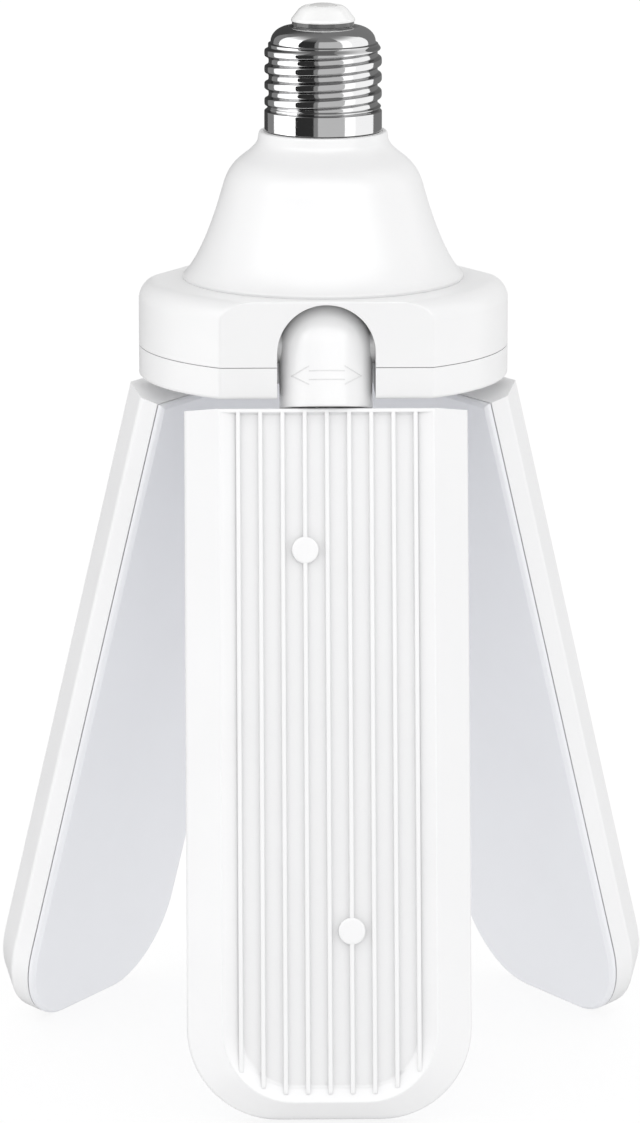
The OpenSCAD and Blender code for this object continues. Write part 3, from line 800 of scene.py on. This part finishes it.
def knuckle(k):
    r, b = KNUCKLE_R, KNUCKLE_B
    inner_r = r - 2.05
    place = arm_place(k)
    p = [(3.55, -b)] + [tuple(x) for x in soften([(5.0, -b), (r, -b), (r, -b + 3)], [0, 0.35, 0], 4)]
    p += [(r, -9.0), (r, -6.0), (r, -3.0)] + arc(0, 0, r, 0, 90, 40)[:-1] + [(0, r)]
    p += [(0, inner_r)] + arc(0, 0, inner_r, 90, 0, 20)[1:] + [(inner_r, -b + 2.5), (3.55, -b + 2.5)]
    shell = lathe(p, 128)
    front = build("knuckle_shell_%d" % k, *shell)
    tubes = joined([loft([[(x, rr * math.cos(2 * math.pi * j / 48), rr * math.sin(2 * math.pi * j / 48)) for j in range(48)] for x, rr in [(s * 7.9, 3.4), (s * 12.8, 3.4), (s * 13.1, 3.1)]]) for s in (-1, 1)])
    boolean(front, tubes, "UNION")
    boolean(front, moved(rod(2.1, -40, 40, 32), turn("Y", 90)), "DIFFERENCE")
    boolean(front, box_part((-20, 4.0, -20), (20, 24, 20)), "DIFFERENCE")
    for tool in arrow_tools(r - 0.14, r + 0.6, -6.9):
        boolean(front, tool, "DIFFERENCE")
    bevel(front, 0.12, lambda m, e: abs(m[1] - 4.0) < 0.01 and (m[0] ** 2 + m[1] ** 2 + max(m[2], 0) ** 2) > (r - 0.3) ** 2, 2, 40)
    front.data.transform(Matrix((place * np.array([[1, 1, 1, MM]] * 3 + [[1, 1, 1, 1]])).tolist()))
    front.data.update()
    finish_piece(front, "knuckle_arm_%d" % k, "white_knuckle", MAT["knuckle"], "knuckle_%d" % k)

    back = build("knuckle_back_%d" % k, *shell)
    boolean(back, box_part((-20, -24, -20), (20, 4.02, 20)), "DIFFERENCE")
    wells = joined([moved(rod(1.85, 5.4, 14, 32), shift(s * 5, 0, 3.4) @ turn("X", -90)) for s in (-1, 1)])
    seats = joined([moved(rod(2.3, 4.02, 5.6, 32), shift(s * 5, 0, 3.4) @ turn("X", -90)) for s in (-1, 1)])
    boolean(back, seats, "UNION")
    boolean(back, wells, "DIFFERENCE")
    boolean(back, joined([moved(rod(1.1, 0, 14, 24), shift(s * 5, 0, 3.4) @ turn("X", -90)) for s in (-1, 1)]), "DIFFERENCE")
    bevel(back, 0.12, lambda m, e: (abs(m[1] - 4.02) < 0.01 and (m[0] ** 2 + m[1] ** 2 + max(m[2], 0) ** 2) > (r - 0.3) ** 2), 2, 40)
    back.data.transform(Matrix((place * np.array([[1, 1, 1, MM]] * 3 + [[1, 1, 1, 1]])).tolist()))
    back.data.update()
    finish_piece(back, "knuckle_arm_%d" % k, "white_knuckle", MAT["knuckle"], "knuckle_cover_%d" % k)


# ------------------------------------------------------------------ the panels
def panel_loop(w, l, c, top, n, corner=16):
    """Outline in panel places: x across, z down from the top edge, y against the outward normal n."""
    pts = [(-w + 0.0, -top), (-w * 0.5, -top), (0.0, -top), (w * 0.5, -top), (w, -top)]
    pts += [(w, -top - (l - c - top) * s) for s in (0.02, 0.25, 0.5, 0.75)]
    pts += [(w - c + c * math.cos(math.radians(90 * i / corner)), -l + c - c * math.sin(math.radians(90 * i / corner))) for i in range(corner + 1)]
    pts += [(0.0, -l)]
    pts += [(-w + c - c * math.sin(math.radians(90 * i / corner)), -l + c - c * math.cos(math.radians(90 * i / corner))) for i in range(corner + 1)]
    pts += [(-w, -top - (l - c - top) * s) for s in (0.75, 0.5, 0.25, 0.02)]
    return [(x, -n, z) for x, z in pts]


def rib(t, u0, u1):
    """One rib with rounded top edges and a rounded lower end."""
    hw, n0, n1 = 0.475, 9.9, 11.72
    section = [(-hw, n0)] + [tuple(x) for x in soften([(-hw, n0 + 0.2), (-hw, n1), (hw, n1), (hw, n0 + 0.2)], [0, 0.22, 0.22, 0], 3)] + [(hw, n0)]
    loops = []
    for u, sink in ((u0, 0.0), (u1 - 0.5, 0.0), (u1 - 0.22, 0.06), (u1 - 0.06, 0.2), (u1, 0.45)):
        loops.append([(t + x, -(n if n < n0 + 0.5 else n - sink), -u) for x, n in section])
    return loft(loops)


def pad(t, u, r=2.95):
    prof = [(r, 9.9)] + [tuple(x) for x in soften([(r, 10.2), (r, 11.78), (r - 0.8, 11.8)], [0, 0.3, 0], 4)]
    n = 56
    loops = [[(t + rr * math.cos(2 * math.pi * j / n), -h, -u + rr * math.sin(2 * math.pi * j / n)) for j in range(n)] for rr, h in prof]
    return loft(loops)


def panel_back(k):
    place = panel_place(k)
    outer = soften(
        [
            (29.4, 153.6, 18.2, 2.4, 0.0),
            (31.2, 155.4, 20.0, 0.0, 0.0),
            (31.2, 155.4, 20.0, 0.0, 4.4),
            (23.6, 151.5, 15.7, 0.0, 11.75),
            (23.25, 151.15, 15.35, 0.85, 11.75),
            (20.1, 148.4, 12.6, 0.95, 10.85),
            (19.2, 147.5, 11.7, 1.3, 10.35),
        ],
        [0, 0.25, 0.9, 0.5, 0.3, 0.3, 0], 4)
    inner = [(22.0, 148.0, 13.2, 3.0, 8.75), (22.5, 148.4, 13.6, 2.4, 8.75), (29.4, 153.6, 18.2, 2.4, 4.4), (29.4, 153.6, 18.2, 2.4, 0.3)]
    loops = [panel_loop(*s) for s in inner] + [panel_loop(*s) for s in outer]
    o = build("panel_back_ribbed_%d" % k, *loft(loops))
    ends = {0: 149.6, 1: 149.6, 2: 149.6, 3: 148.3, 4: 144.9}
    for i in range(9):
        boolean(o, rib((i - 4) * 4.86, 0.35, ends[abs(i - 4)]), "UNION")
    for t, u in ((-4.86, 31.0), (4.86, 114.2)):
        boolean(o, pad(t, u), "UNION")
    boolean(o, moved(rod(3.52, -3.2, 2.0, 40), shift(0, -STEM_N, 0)), "DIFFERENCE")
    o.data.transform(Matrix((place * np.array([[1, 1, 1, MM]] * 3 + [[1, 1, 1, 1]])).tolist()))
    o.data.update()
    finish_piece(o, "panel_%d" % k, "white_panel", MAT["panel"], "panel_back_%d" % k, angle=32)


def diffuser(k):
    place = panel_place(k)
    outer = soften(
        [
            (28.0, 152.2, 17.0, 4.0, -0.6),
            (28.0, 152.2, 17.0, 4.0, 1.2),
            (29.25, 153.45, 18.05, 2.6, 1.2),
            (29.25, 153.45, 18.05, 2.6, -0.24),
            (31.12, 155.32, 19.92, 0.08, -0.24),
            (31.12, 155.32, 19.92, 0.08, -1.15),
            (30.4, 154.6, 19.2, 0.8, -1.8),
            (29.0, 153.2, 17.8, 2.2, -1.8),
        ],
        [0, 0.0, 0.1, 0.0, 0.12, 0.35, 0.35, 0], 4)
    loops = [panel_loop(*s) for s in outer]
    o = build("diffuser_tray_%d" % k, *loft(loops))
    boolean(o, box_part((-7.4, -9, -5.2), (7.4, -0.25, 0.0)), "DIFFERENCE")
    o.data.transform(Matrix((place * np.array([[1, 1, 1, MM]] * 3 + [[1, 1, 1, 1]])).tolist()))
    o.data.update()
    finish_piece(o, "panel_%d" % k, "milky_diffuser", MAT["diffuser"], "diffuser_%d" % k, angle=32)


cap_shell()
cap_insulator()
centre_contact()
neck()
hub_upper()
hub_lower()
for k in (1, 2, 3):
    knuckle(k)
    panel_back(k)
    diffuser(k)

# ------------------------------------------------------------------ the CAD nodes that stay
KEPT = {
    "driver_board": "driver_board", "driver_capacitor": "capacitor", "driver_transformer": "transformer",
    "driver_components": "components", "driver_screws": "zinc", "neck_screws": "zinc", "hub_screws": "zinc",
    "cap_leads": "red_lead", "hub_leads": "white_lead",
}
for k in (1, 2, 3):
    KEPT.update({
        "knuckle_screws_%d" % k: "zinc", "swivel_washer_%d" % k: "spring", "knuckle_leads_%d" % k: "white_lead",
        "led_board_%d" % k: "led_board", "led_chips_%d" % k: "phosphor", "board_screws_%d" % k: "zinc",
        "swivel_stem_%d" % k: "stem", "stem_nut_%d" % k: "stem", "panel_leads_%d" % k: "white_lead",
    })
for name, key in KEPT.items():
    o = nodes[name]
    o.data.materials.clear()
    o.data.materials.append(MAT[key])


# ------------------------------------------------------------------ floor, light and camera
def floor():
    z = cad_box[0][2] / MM - 0.4
    n = 24
    size = 9000.0
    verts = [((i / n - 0.5) * size, (j / n - 0.35) * size, z) for j in range(n + 1) for i in range(n + 1)]
    faces = [(j * (n + 1) + i, j * (n + 1) + i + 1, (j + 1) * (n + 1) + i + 1, (j + 1) * (n + 1) + i) for j in range(n) for i in range(n)]
    mesh = bpy.data.meshes.new("floor")
    mesh.from_pydata([(x * MM, y * MM, h * MM) for x, y, h in verts], [], faces)
    o = bpy.data.objects.new("floor", mesh)
    bpy.context.scene.collection.objects.link(o)
    # a light table: part of its white comes from below, so shadows on it stay faint
    t = Tree("studio_floor")
    base = t.mix(t.ramp(t.noise(6.0, 3.0), 0.3, 0.7, 0.0, 1.0), (0.26, 0.26, 0.26), (0.257, 0.257, 0.257))
    t.set(Base_Color=base, Roughness=0.9, Specular_IOR_Level=0.0, Emission_Color=(1, 1, 1), Emission_Strength=0.75)
    # clear from below, so that the underside can be looked at
    clear = t.add("ShaderNodeMixShader")
    t.wire(t.add("ShaderNodeNewGeometry").outputs["Backfacing"], clear.inputs[0])
    t.wire(t.bsdf.outputs[0], clear.inputs[1])
    t.wire(t.add("ShaderNodeBsdfTransparent").outputs[0], clear.inputs[2])
    t.wire(clear.outputs[0], t.nt.nodes["Material Output"].inputs["Surface"])
    mesh.materials.append(t.mat)
    o.visible_glossy = False


floor()


def area(name, at, towards, size, power, colour=(1, 1, 1)):
    light = bpy.data.lights.new(name, "AREA")
    light.shape = "RECTANGLE"
    light.size, light.size_y = size
    light.energy = power
    light.color = colour
    o = bpy.data.objects.new(name, light)
    bpy.context.scene.collection.objects.link(o)
    o.location = at
    o.rotation_euler = (Vector(towards) - Vector(at)).to_track_quat("-Z", "Y").to_euler()
    return o


def studio():
    """A white tent. In reflections it shows the strip lights and dark flags that stand round the object."""
    world = bpy.data.worlds.new("studio")
    bpy.context.scene.world = world
    world.use_nodes = True
    nt = world.node_tree

    def add(kind, **props):
        n = nt.nodes.new(kind)
        for k, v in props.items():
            setattr(n, k, v)
        return n

    def maths(op, a, b=0.0):
        n = add("ShaderNodeMath", operation=op)
        for i, x in enumerate((a, b)):
            if isinstance(x, (int, float)):
                n.inputs[i].default_value = x
            else:
                nt.links.new(x, n.inputs[i])
        return n.outputs[0]

    def ease(value, low, high):
        n = add("ShaderNodeMapRange", interpolation_type="SMOOTHSTEP")
        n.inputs["From Min"].default_value, n.inputs["From Max"].default_value = low, high
        nt.links.new(value, n.inputs["Value"])
        return n.outputs["Result"]

    def strips(turned, levels):
        """levels: (where it starts in degrees, the front being 0 and +X 90, brightness)."""
        n = add("ShaderNodeValToRGB")
        r = n.color_ramp
        r.interpolation = "CONSTANT"
        while len(r.elements) < len(levels):
            r.elements.new(0.5)
        for e, (deg, v) in zip(r.elements, levels):
            e.position = (deg + 180) / 360
            e.color = (v, v, v, 1)
        nt.links.new(turned, n.inputs["Fac"])
        return n.outputs["Color"]

    def mix(fac, a, b):
        n = add("ShaderNodeMix", data_type="RGBA")
        for i, x in ((0, fac), (6, a), (7, b)):
            if isinstance(x, (tuple, list)):
                n.inputs[i].default_value = (*x, 1)
            elif isinstance(x, (int, float)):
                n.inputs[i].default_value = x
            else:
                nt.links.new(x, n.inputs[i])
        return n.outputs[2]

    way = add("ShaderNodeSeparateXYZ")
    nt.links.new(add("ShaderNodeTexCoord").outputs["Generated"], way.inputs[0])
    x, y, z = way.outputs
    turned = maths("ADD", maths("DIVIDE", maths("ARCTAN2", x, maths("MULTIPLY", y, -1.0)), 2 * math.pi), 0.5)
    low = strips(turned, [(-180, 0.06), (-141, 0.24), (-115, 1.25), (-97, 1.6), (-82, 2.3), (-58, 0.03), (-21, 0.24), (-12, 0.56), (41, 1.35), (64, 1.08), (115, 0.2)])
    high = strips(turned, [(-180, 0.08), (-141, 0.2), (-112, 1.15), (-58, 0.07), (-21, 0.2), (38, 1.15), (110, 0.2)])
    seen = mix(ease(z, 0.62, 0.74), low, high)
    seen = mix(ease(z, 0.62, 1.02), seen, (0.2, 0.2, 0.2))
    seen = mix(ease(z, -0.8, -0.5), (0.06, 0.06, 0.06), seen)
    glossy = add("ShaderNodeLightPath").outputs["Is Glossy Ray"]
    nt.links.new(mix(glossy, (1.04, 1.04, 1.04), seen), nt.nodes["Background"].inputs["Color"])


studio()


def softboxes():
    """Boxes that gloss the white plastic: a wide one over the camera, a low one and a rim light behind.
    The bright metal is flagged off from them."""
    lit = bpy.data.collections.new("plastic_pieces")
    for o in bpy.context.scene.objects:
        if o.type == "MESH" and o.data.materials and o.data.materials[0] in (MAT["housing"], MAT["knuckle"], MAT["panel"], MAT["glazed"]):
            lit.objects.link(o)
    for name, at, size, level in (
        ("front_box", (-0.12, -1.2, 0.93), (4.2, 1.35), 2.4),
        ("low_box", (-0.03, -1.9, -0.30), (1.6, 1.1), 0.35),
        ("rim_box", (1.3, 1.9, 0.1), (4.0, 2.6), 0.36),
    ):
        box = area(name, at, (0, 0, -0.02), size, level * math.pi * size[0] * size[1])
        box.visible_diffuse = False
        box.visible_camera = False
        box.light_linking.receiver_collection = lit


softboxes()

cam = bpy.data.cameras.new("camera")
cam.lens = 191.54
cam.sensor_width = 36.0
cam.sensor_fit = "AUTO"
cam.clip_start, cam.clip_end = 0.05, 60
camera = bpy.data.objects.new("camera", cam)
bpy.context.scene.collection.objects.link(camera)
camera.location = (-0.02974, -1.3209, 0.1848)
camera.rotation_euler = (math.radians(77.91), 0, math.radians(-1.26))
bpy.context.scene.camera = camera
bpy.context.scene.view_settings.view_transform = "Standard"
bpy.context.scene.view_settings.look = "None"
